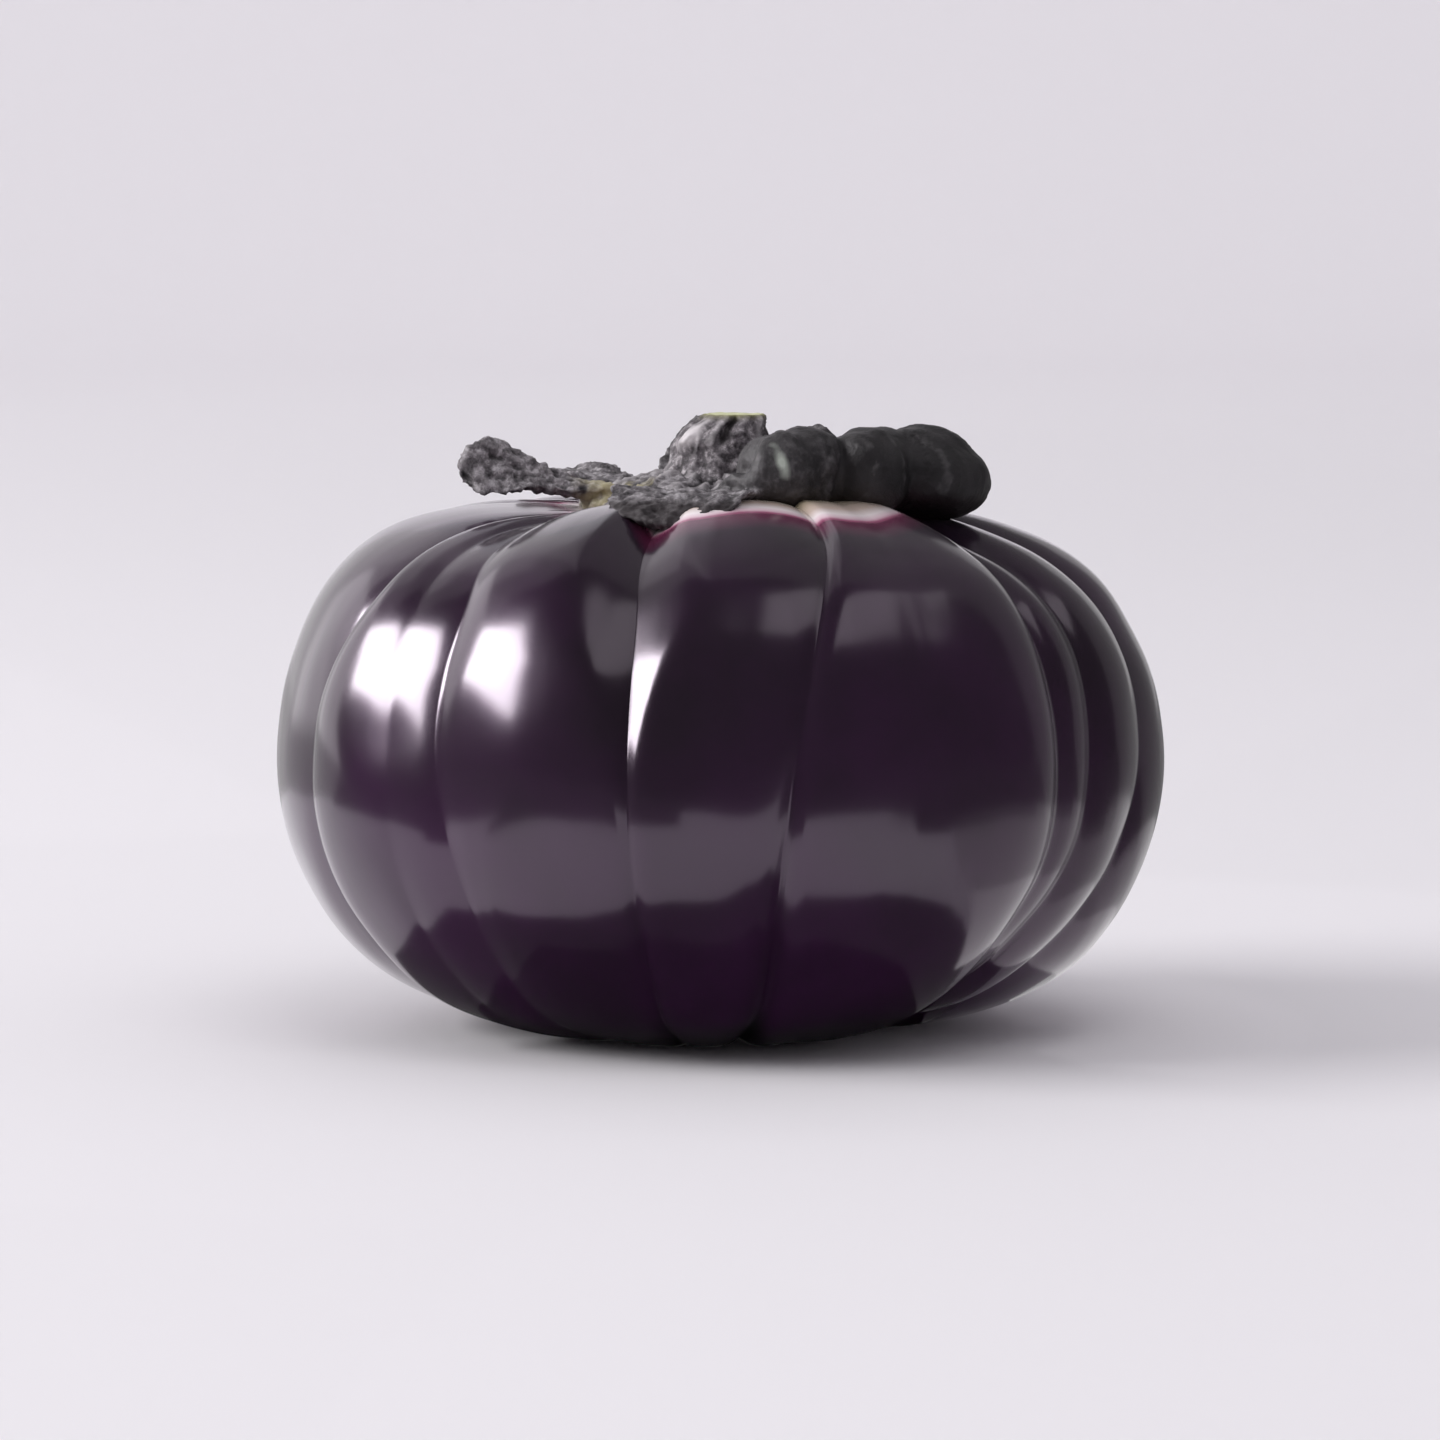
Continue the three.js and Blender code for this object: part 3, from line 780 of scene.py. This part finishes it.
# Height, centre to the right, radius: the cut face, its bruised edge, then down the side.
STALK_OUTLINE = [
    (73.85, 1.7, 0.0), (73.9, 1.7, 1.2), (74.0, 1.7, 2.6), (74.1, 1.7, 3.6), (73.9, 1.7, 4.0),
    (73.4, 1.5, 4.4), (72.8, 1.0, 4.8), (72.0, 0.5, 5.3), (71.0, 0.2, 5.7), (70.0, 0.0, 5.8),
    (69.0, 0.0, 5.9), (68.0, -0.1, 6.2), (67.0, -0.2, 6.8), (66.0, -0.3, 7.6), (65.0, -0.3, 8.2),
    (64.0, -0.3, 8.4), (63.2, -0.3, 8.4), (63.2, -0.3, 0.0),
]
CUT_RADIUS = 4.4
BARK_EDGE = (3.2, 4.6)  # distances from its middle between which the cut passes into bark
# The relief of the bark, and the corky knob and the deep groove at the front of the stub: how
# many degrees they spread to each side, the height the knob is at and spreads over, and the
# heights between which the groove opens.
RIDGE_HEIGHT = 0.55
CRACK_HEIGHT = 0.28
CRACK_WIDTH = 1.7
KNOB = {"azimuth": -42, "spread": 14, "height": 71.6, "tall": 1.3, "rise": 0.55}
GROOVE = {"azimuth": 3, "spread": 7, "opens": (69.6, 71.6), "depth": 0.95}
CUT_UNEVENNESS = 0.12


def stalk_piece():
    heights, shifts, radii = np.array(STALK_OUTLINE).T
    run = np.concatenate([[0], np.cumsum(np.hypot(np.diff(heights), np.diff(radii)))])
    place = np.linspace(0, run[-1], STALK_ROWS + 1)[:, None]
    angle = 2 * math.pi * np.arange(STALK_SIDES) / STALK_SIDES
    height = np.interp(place, run, heights) + 0 * angle
    shift = np.interp(place, run, shifts)
    radius = np.interp(place, run, radii) + 0 * angle
    azimuth = np.degrees((angle + math.pi) % (2 * math.pi) - math.pi)

    # Bark shrunk into ridges and cracks down the stub, with one corky knob and one deep groove at
    # the front, and a cut face that is not quite even.
    around = np.stack([3 * np.cos(angle) + 0 * height, 3 * np.sin(angle) + 0 * height,
                       height / 9], axis=-1).reshape(-1, 3)
    round_stub = np.stack([radius * np.sin(angle), -radius * np.cos(angle), height], axis=-1)
    places = round_stub.reshape(-1, 3)
    on_bark = smooth(radius, *BARK_EDGE) * (1 - smooth(place, run[-3], run[-2]))
    bark = RIDGE_HEIGHT * lumps(around, 0.75, 11).reshape(height.shape)
    bark += CRACK_HEIGHT * (ridged(places, CRACK_WIDTH, 12).reshape(height.shape) - 0.5)
    knob = KNOB["rise"] * bump(azimuth - KNOB["azimuth"], KNOB["spread"])
    knob = knob * bump(height - KNOB["height"], KNOB["tall"])
    groove = GROOVE["depth"] * bump(azimuth - GROOVE["azimuth"], GROOVE["spread"])
    groove = groove * smooth(height, *GROOVE["opens"])
    radius = radius + (bark + knob - groove) * on_bark
    dents = CUT_UNEVENNESS * lumps(places, 1.1, 13).reshape(height.shape)
    height = height + dents * (1 - on_bark)
    grid = np.stack([shift + radius * np.sin(angle), -radius * np.cos(angle), height], axis=-1)
    # In the raised shade the knob counts twice, so that it is painted lighter as a highlight, and the
    # groove counts against it, so that it is painted dark as shade.
    shades = {"bark": ringed(on_bark + 0 * angle), "raised": ringed(bark + 2 * knob - groove),
              "from_rim": ringed(np.interp(place, run, radii) / CUT_RADIUS + 0 * angle)}
    return mesh_piece("stalk_stub", ringed(grid), closed_faces(STALK_ROWS, STALK_SIDES), shades)


CORK = 1.2 * MM  # width of the flecks of cork


def dried_bark():
    """Stalk bark, shrunk as it dried: matt grey-brown, round a cut face that is yellow-green and
    browner at its rim. Its corky ridges and its knob are paler, partly as pale cork and partly as
    a painted highlight, which is strongest on the knob; its cracks and its groove are painted
    nearly black as shade."""
    material, tree = new_material("dried_bark")
    place = add_node(tree, "ShaderNodeTexCoord").outputs["Object"]
    bark, raised, from_rim = (
        add_node(tree, "ShaderNodeAttribute", attribute_name=name).outputs["Fac"]
        for name in ("bark", "raised", "from_rim"))
    flecks = add_node(
        tree, "ShaderNodeTexNoise", {"Scale": 1 / CORK, "Detail": 5, "Roughness": 0.7},
        {"Vector": place})
    rind = add_node(
        tree, "ShaderNodeValToRGB", links={"Fac": flecks.outputs["Fac"]},
        stops=[(0.36, "#292427"), (0.52, "#686266"), (0.68, "#b4aeb0")])
    # Paler ridges, partly pale cork and partly painted highlight, and cracks painted dark as shade.
    patchy = tinted(tree, rind.outputs["Color"], [
        (raised, 0.15, 0.9, 0.9, "#d2ccce"),
        (raised, -0.15, -0.6, 0.85, "#1b1616"),
    ])
    cut = add_node(
        tree, "ShaderNodeValToRGB", links={"Fac": from_rim},
        stops=[(0.0, "#b9bd8c"), (0.7, "#d3d3aa"), (0.85, "#8d8a55"), (1.0, "#6f6a45")])
    colour = add_node(
        tree, "ShaderNodeMix", {}, {SHARE: bark, FIRST: cut.outputs["Color"], SECOND: patchy},
        data_type="RGBA")
    grain = add_node(
        tree, "ShaderNodeBump", {"Strength": 0.7, "Distance": GRAIN_DEPTH},
        {"Height": flecks.outputs["Fac"]})
    shader = add_node(
        tree, "ShaderNodeBsdfPrincipled", {"Roughness": 0.65},
        {"Base Color": colour.outputs[MIXED], "Normal": grain.outputs["Normal"]})
    add_node(tree, "ShaderNodeOutputMaterial", links={"Surface": shader.outputs["BSDF"]})
    return material


stalk = stalk_piece()
stalk.data.materials.append(dried_bark())
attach(stalk, "root")
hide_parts("stem")

# ---- Studio ----
# A floor of matt white paper that sweeps up into a wall all round, lit by a large soft light on
# the left, a dim one overhead and one that washes the wall behind. Dark cloths, pale walls and
# cards and bright soft boxes stand round the fruit, and only the shine of its skin shows them.

AIM_HEIGHT = 37  # the middle of the fruit, which the lights and the camera face
FLOOR_RINGS = (0, 300, 900)  # distances of the rings of points on the flat floor
FLOOR_RADIUS = 2600
SWEEP_RADIUS = 1100
SWEEP_STEPS = 24
WALL_TOP = 2400
STUDIO_SIDES = 96


def turned(profile, start, end, sides):
    """Points and faces of a profile turned about the axis from one azimuth to another."""
    angles = np.radians(np.linspace(start, end, sides + 1))
    points = [(d * math.sin(a), -d * math.cos(a), h) for a in angles for d, h in profile]
    step = len(profile)
    faces = [
        (i * step + k, (i + 1) * step + k, (i + 1) * step + k + 1, i * step + k + 1)
        for i in range(sides)
        for k in range(step - 1)
    ]
    return points, faces


def matt_white_paper():
    """Uncoated background paper off a roll: an even pale grey-white that has no shine."""
    material, tree = new_material("matt_white_paper")
    shader = add_node(
        tree, "ShaderNodeBsdfPrincipled", {"Base Color": linear("#e8e5e8"), "Roughness": 0.9})
    add_node(tree, "ShaderNodeOutputMaterial", links={"Surface": shader.outputs["BSDF"]})
    return material


sweep = [math.radians(90 * step / SWEEP_STEPS) for step in range(SWEEP_STEPS + 1)]
paper_profile = [(ring, 0) for ring in FLOOR_RINGS]
paper_profile += [(FLOOR_RADIUS + SWEEP_RADIUS * math.sin(a), SWEEP_RADIUS * (1 - math.cos(a)))
                  for a in sweep]
paper_profile.append((FLOOR_RADIUS + SWEEP_RADIUS, WALL_TOP))
floor = mesh_piece("studio_floor", *turned(paper_profile, 0, 360, STUDIO_SIDES))
floor.data.materials.append(matt_white_paper())

ROOM_RADIUS = 2300
ROOM_STEPS = 20
SHEET_DISTANCE = 2000


def dome(lowest, highest=89):
    """The profile of a dome over the fruit between two elevations."""
    rise = [math.radians(e) for e in np.linspace(lowest, highest, ROOM_STEPS)]
    return [(ROOM_RADIUS * math.cos(e), ROOM_RADIUS * math.sin(e) + 1) for e in rise]


def ground(nearest, furthest=ROOM_RADIUS):
    """The profile of a flat ring on the floor, just clear of the paper."""
    return [(nearest, 1), (furthest, 1)]


def lying(points, height):
    """A flat shape lying over the floor, from the corners of its outline."""
    return [(x, y, height) for x, y in points], [tuple(range(len(points)))]


def hanging(corners):
    """A hanging sheet, from the azimuth and elevation of each of its corners."""
    points = []
    for azimuth, elevation in corners:
        a, e = math.radians(azimuth), math.radians(elevation)
        points.append((SHEET_DISTANCE * math.sin(a) * math.cos(e),
                       -SHEET_DISTANCE * math.cos(a) * math.cos(e),
                       AIM_HEIGHT + SHEET_DISTANCE * math.sin(e)))
    return points, [tuple(range(len(points)))]


# What the skin mirrors, and how bright each is. A sheet is turned from one azimuth to another in
# so many sides, or drawn by its corners. First the cloths and walls that close the room, then
# the floor from side to side, the cards on it at the right, two dark sheets laid under the foot
# of the fruit as a painted shadow for its skin to mirror, and last the soft boxes.
surroundings = {
    "cloth": (turned(dome(0), -104, 100, 64), 0.042),
    "cloth_right": (turned(dome(0), 100, 150, 12), 0.17),
    "wall_right_back": (turned(dome(0, 34), 150, 166, 6), 0.42),
    "cloth_right_back": (turned(dome(34), 150, 180, 12), 0.14),
    "cloth_back": (turned(dome(53), 180, 195, 6), 0.3),
    "wall_left_back": (turned(dome(0, 52), -165, -142, 6), 0.65),
    "cloth_left_back": (turned(dome(52), -165, -136, 6), 0.4),
    "wall_left": (turned(dome(0, 33), -142, -104, 12), 1.25),
    "wall_left_high": (turned(dome(33, 52), -142, -124, 6), 0.5),
    "cloth_left": (turned(dome(33), -124, -104, 6), 0.25),
    "cloth_left_high": (turned(dome(52), -136, -124, 6), 0.25),
    "floor_left": (turned(ground(230), -165, -104, 12), 0.45),
    "floor_dark_left": (turned(ground(200), -104, -60, 12), 0.1),
    "floor_dark_middle": (turned(ground(150), -60, -8, 12), 0.1),
    "floor_dark": (turned(ground(260), -8, 42, 12), 0.06),
    "floor_dark_right": (turned(ground(135), 42, 104, 12), 0.07),
    "floor_right": (turned(ground(170), 104, 165, 12), 0.18),
    "card_right": (turned(ground(72, 172), 50, 165, 24), 0.5),
    "card_right_near": (turned(ground(44, 72), 50, 165, 24), 0.8),
    "card_right_inner": (turned(ground(36, 44), 85, 165, 12), 0.55),
    # Painted shadow: dark sheets under the foot of the fruit, which only the shine of its skin shows.
    "foot": (lying([(-48, -12), (-50, -42), (-32, -56), (-10, -65), (14, -70), (38, -62),
                    (47, -46), (38, -26), (20, 0), (-20, 0)], 0.4), 0.05),
    "foot_core": (lying([(-30, -20), (-30, -44), (-10, -54), (18, -54), (26, -40),
                         (24, 0), (-24, 0)], 0.5), 0),
    "soft_box": (hanging([(-100, 17), (-80, 16), (-67, 14.5), (-69, 31), (-83, 41), (-97, 36),
                          (-108, 31), (-102, 24)]), 14),
    "high_box": (hanging([(15, 52), (42, 48), (70, 70), (42, 72)]), 0.9),
    "high_box_right": (hanging([(42, 48), (72, 44), (102, 54), (70, 70)]), 0.8),
}
for name, (shape, brightness) in surroundings.items():
    seen = mesh_piece(name, *shape)
    material, tree = new_material(name)
    glow = add_node(
        tree, "ShaderNodeEmission", {"Color": linear("#fffcff"), "Strength": brightness})
    add_node(tree, "ShaderNodeOutputMaterial", links={"Surface": glow.outputs["Emission"]})
    seen.data.materials.append(material)
    seen.visible_camera = False
    seen.visible_diffuse = False
    seen.visible_shadow = False


def soft_light(name, azimuth, elevation, distance, width, height, power, faced):
    """A rectangular soft light in that direction from what it faces. Neither the camera nor the
    shine of the skin shows it. Lengths here are in metres, and the power in watts."""
    data = bpy.data.lights.new(name, "AREA")
    data.shape = "RECTANGLE"
    data.size = width
    data.size_y = height
    data.energy = power
    light = bpy.data.objects.new(name, data)
    a, e = math.radians(azimuth), math.radians(elevation)
    back = Vector((math.sin(a) * math.cos(e), -math.cos(a) * math.cos(e), math.sin(e)))
    light.location = faced + back * distance
    light.rotation_euler = back.to_track_quat("Z", "Y").to_euler()
    light.visible_camera = False
    light.visible_glossy = False
    bpy.context.scene.collection.objects.link(light)


aim = Vector((0, 0, AIM_HEIGHT * MM))
wall = Vector((-0.5, 3.6, 0.4))  # low on the paper behind, a little to the left
soft_light("key", azimuth=-83, elevation=25, distance=2.0, width=1.35, height=0.86, power=33,
           faced=aim)
soft_light("overhead", azimuth=25, elevation=62, distance=1.6, width=0.9, height=0.9, power=3.5,
           faced=aim)
soft_light("wall_wash", azimuth=0, elevation=50, distance=2.6, width=2.5, height=1.0, power=18,
           faced=wall)

world = bpy.data.worlds.new("studio_air")
world.use_nodes = True
air = world.node_tree.nodes["Background"].inputs
air["Color"].default_value = linear("#faf9ff")
air["Strength"].default_value = 0.6
bpy.context.scene.world = world
bpy.context.scene.view_settings.view_transform = "Standard"

# ---- Camera ----
# A camera with a long lens on a tripod, straight in front of the fruit and looking a little down
# on it, so that the upper side of the calyx just shows.

CAMERA_DISTANCE = 756
CAMERA_ELEVATION = 5
LENS = 156
NEAREST_SEEN = 10  # closer than any of the studio is to the lens

camera = bpy.data.objects.new("camera", bpy.data.cameras.new("camera"))
camera.data.lens = LENS
camera.data.clip_start = NEAREST_SEEN * MM
elevation = math.radians(CAMERA_ELEVATION)
back = Vector((0, -math.cos(elevation), math.sin(elevation)))
camera.location = aim + back * (CAMERA_DISTANCE * MM)
camera.rotation_euler = back.to_track_quat("Z", "Y").to_euler()
bpy.context.scene.collection.objects.link(camera)
bpy.context.scene.camera = camera
